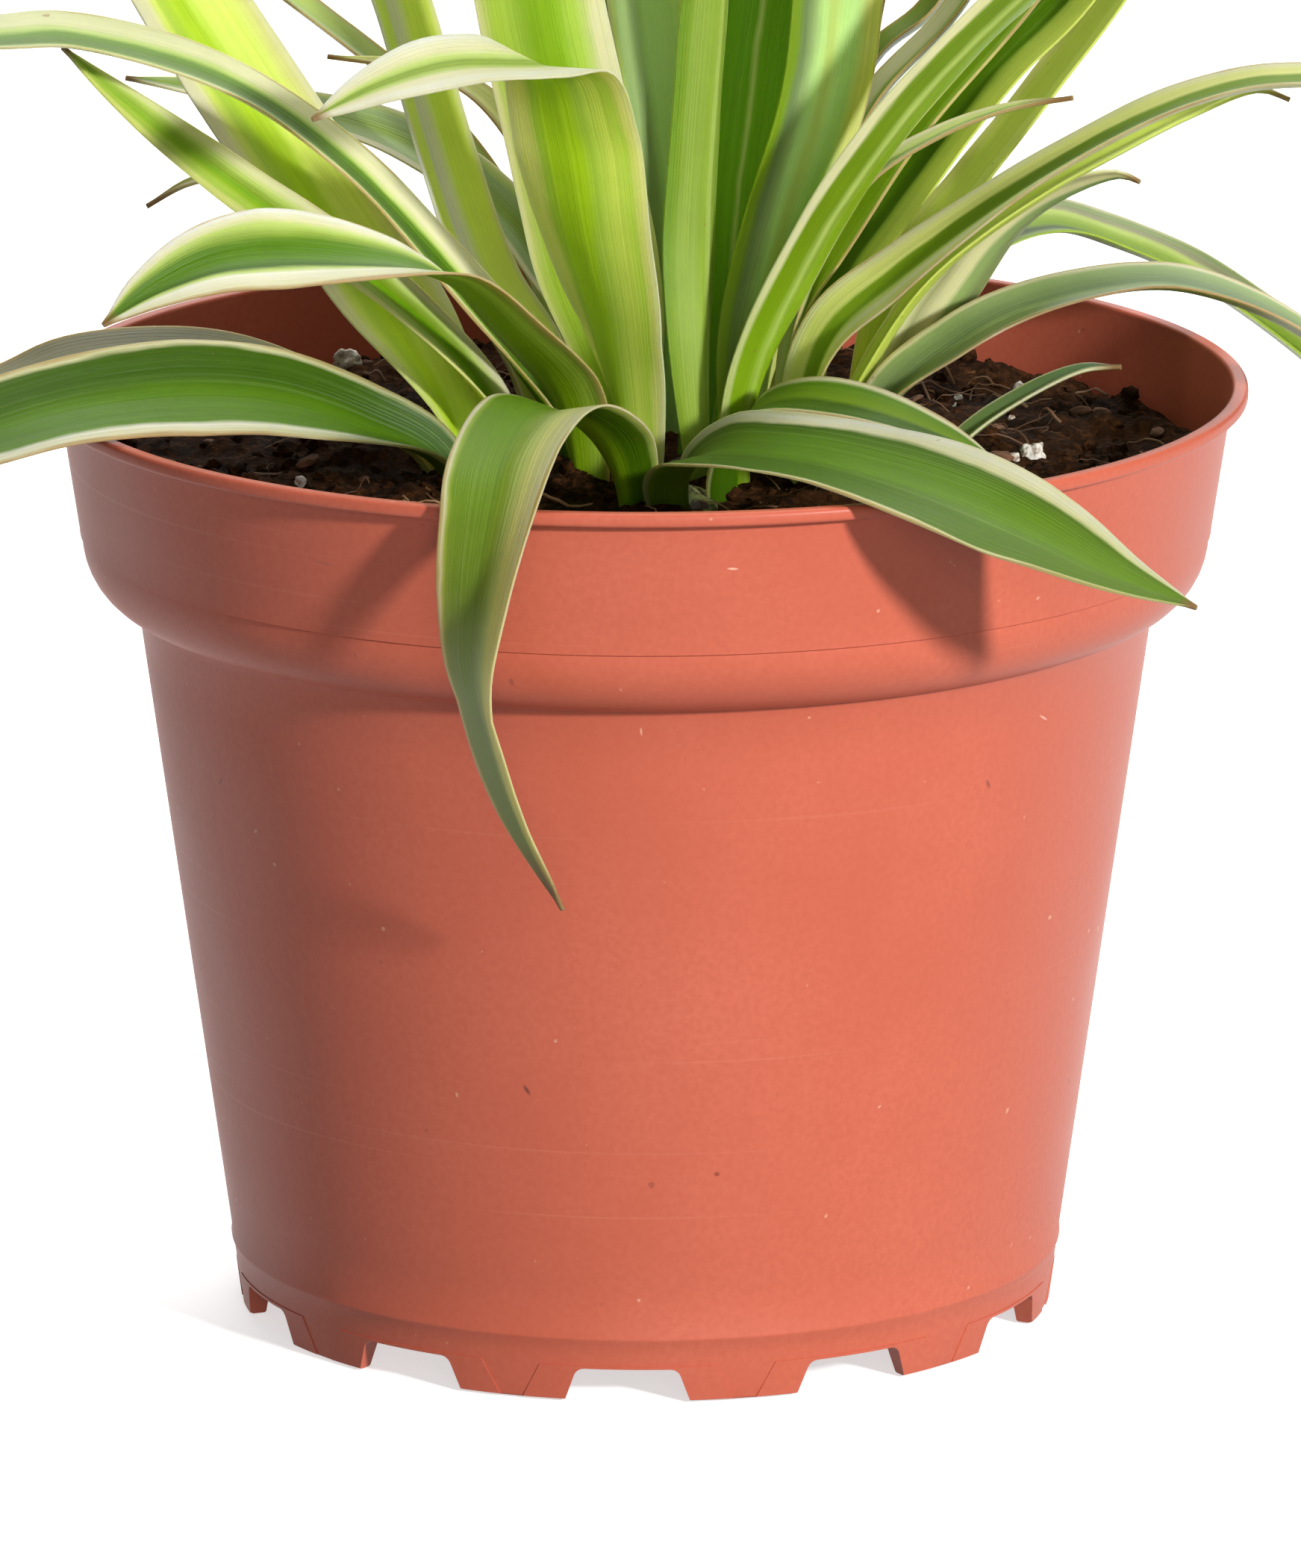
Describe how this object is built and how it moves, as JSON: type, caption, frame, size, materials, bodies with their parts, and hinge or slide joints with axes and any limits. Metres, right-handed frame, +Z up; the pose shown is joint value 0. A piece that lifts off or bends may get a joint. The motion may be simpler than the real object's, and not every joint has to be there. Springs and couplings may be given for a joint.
{
  "type": "potted spider plant",
  "caption": "Variegated spider plant with long arching striped leaves, growing in a round plastic nursery pot filled with dark soil.",
  "frame": {"origin": "on the standing surface, under the middle of the plant's box, which is the pot's axis", "axes": "+Z up, front towards -Y, +X to the right of the front"},
  "size_m": [0.3109, 0.2129, 0.2468],
  "materials": {
    "pot": "moulded, slight sheen",
    "soil": "rough, crumbly peat",
    "crown": "satin plant tissue",
    "leaf": "satin leaf with cream margins"
  },
  "bodies": {
    "root": {"pot": "pot", "soil": "soil", "crown": "crown", "leaf_left_1": "leaf", "leaf_left_2": "leaf", "leaf_left_3": "leaf", "leaf_left_4": "leaf", "leaf_left_5": "leaf", "leaf_left_6": "leaf", "leaf_left_7": "leaf", "leaf_front_1": "leaf", "leaf_front_2": "leaf", "leaf_front_3": "leaf", "leaf_front_4": "leaf", "leaf_up_1": "leaf", "leaf_up_2": "leaf", "leaf_up_3": "leaf", "leaf_up_4": "leaf", "leaf_up_5": "leaf", "leaf_up_6": "leaf", "leaf_right_1": "leaf", "leaf_right_2": "leaf", "leaf_right_3": "leaf", "leaf_right_4": "leaf", "leaf_right_5": "leaf", "leaf_right_6": "leaf", "leaf_right_7": "leaf", "leaf_right_8": "leaf", "leaf_right_9": "leaf", "leaf_right_10": "leaf", "leaf_right_11": "leaf", "leaf_right_12": "leaf", "leaf_right_13": "leaf", "leaf_back_1": "leaf", "leaf_back_2": "leaf", "leaf_back_3": "leaf", "leaf_back_4": "leaf", "leaf_back_5": "leaf", "leaf_back_6": "leaf", "leaf_back_7": "leaf", "leaf_back_8": "leaf"}
  },
  "joints": []
}
